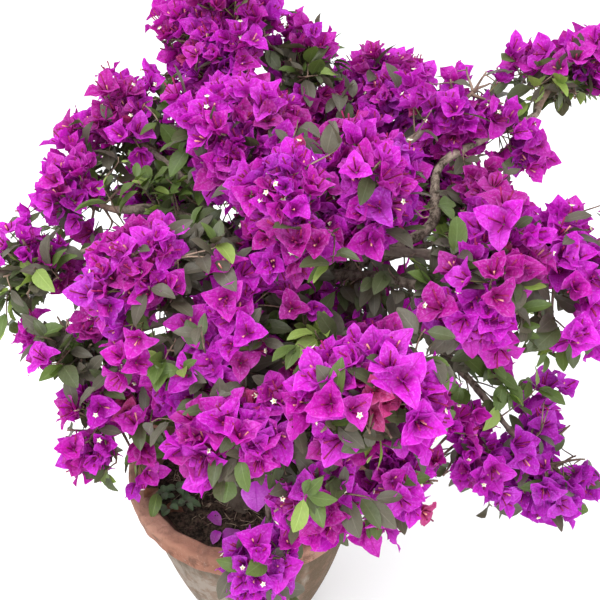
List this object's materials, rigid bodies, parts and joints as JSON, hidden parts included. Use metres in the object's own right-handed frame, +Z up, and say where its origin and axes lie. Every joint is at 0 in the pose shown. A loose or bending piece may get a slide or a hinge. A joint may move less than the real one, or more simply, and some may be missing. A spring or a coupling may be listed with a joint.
{
  "type": "potted bougainvillea bush",
  "caption": "Free-standing flowering shrub in a banded clay pot, with a leaning trunk, arching boughs and rounded masses of magenta bracts and leaves.",
  "frame": {"origin": "centre of the pot's flat underside, on the ground", "axes": "+Z up; +X toward the bush's right as the picture shows it, where its long upper branch reaches; -Y toward the viewer"},
  "size_m": [0.8601, 0.7819, 0.8965],
  "materials": {
    "clay": "weathered unglazed clay, bloomed with lime and stained by algae",
    "soil": "damp potting mix with fallen bits",
    "bark": "rough grey-brown bark",
    "blossom": "papery magenta bracts",
    "leaf": "soft green leaf with a dull gloss",
    "flower": "small cream flower with a dark red tube",
    "litter": "dry fallen leaf"
  },
  "bodies": {
    "root": {"pot": "clay", "soil": "soil", "trunk": "bark", "bough_crown_top": "bark", "bough_arm_tip": "bark", "bough_left_shoulder": "bark", "bough_right_front": "bark", "bough_front_centre": "bark", "bough_back_centre": "bark", "bough_left_front": "bark", "bough_crown_top_right": "bark", "bough_back_right_top": "bark", "bough_left_upper": "bark", "bough_left_tip": "bark", "bough_left_droop": "bark", "bough_left_skirt": "bark", "bough_centre": "bark", "bough_centre_right": "bark", "bough_centre_low": "bark", "bough_front_left": "bark", "bough_front_low": "bark", "bough_pot_drape": "bark", "bough_front_right_low": "bark", "bough_right_droop": "bark", "bough_right_side": "bark", "bough_right_skirt": "bark", "bough_right_shoulder": "bark", "bough_arm_middle": "bark", "bough_back_left": "bark", "bough_back_right": "bark", "bough_back_low": "bark", "mass_upper_front": "blossom", "mass_crown_top": "blossom", "mass_arm_tip": "blossom", "mass_left_shoulder": "blossom", "mass_right_front": "blossom", "mass_front_centre": "blossom", "mass_back_centre": "blossom", "mass_left_front": "blossom", "mass_crown_top_right": "blossom", "mass_back_right_top": "blossom", "mass_left_upper": "blossom", "mass_left_tip": "blossom", "mass_left_droop": "blossom", "mass_left_skirt": "blossom", "mass_centre": "blossom", "mass_centre_right": "blossom", "mass_centre_low": "blossom", "mass_front_left": "blossom", "mass_front_low": "blossom", "mass_pot_drape": "blossom", "mass_front_right_low": "blossom", "mass_right_droop": "blossom", "mass_right_side": "blossom", "mass_right_skirt": "blossom", "mass_right_shoulder": "blossom", "mass_arm_middle": "blossom", "mass_back_left": "blossom", "mass_back_right": "blossom", "mass_back_low": "blossom"}
  },
  "joints": []
}
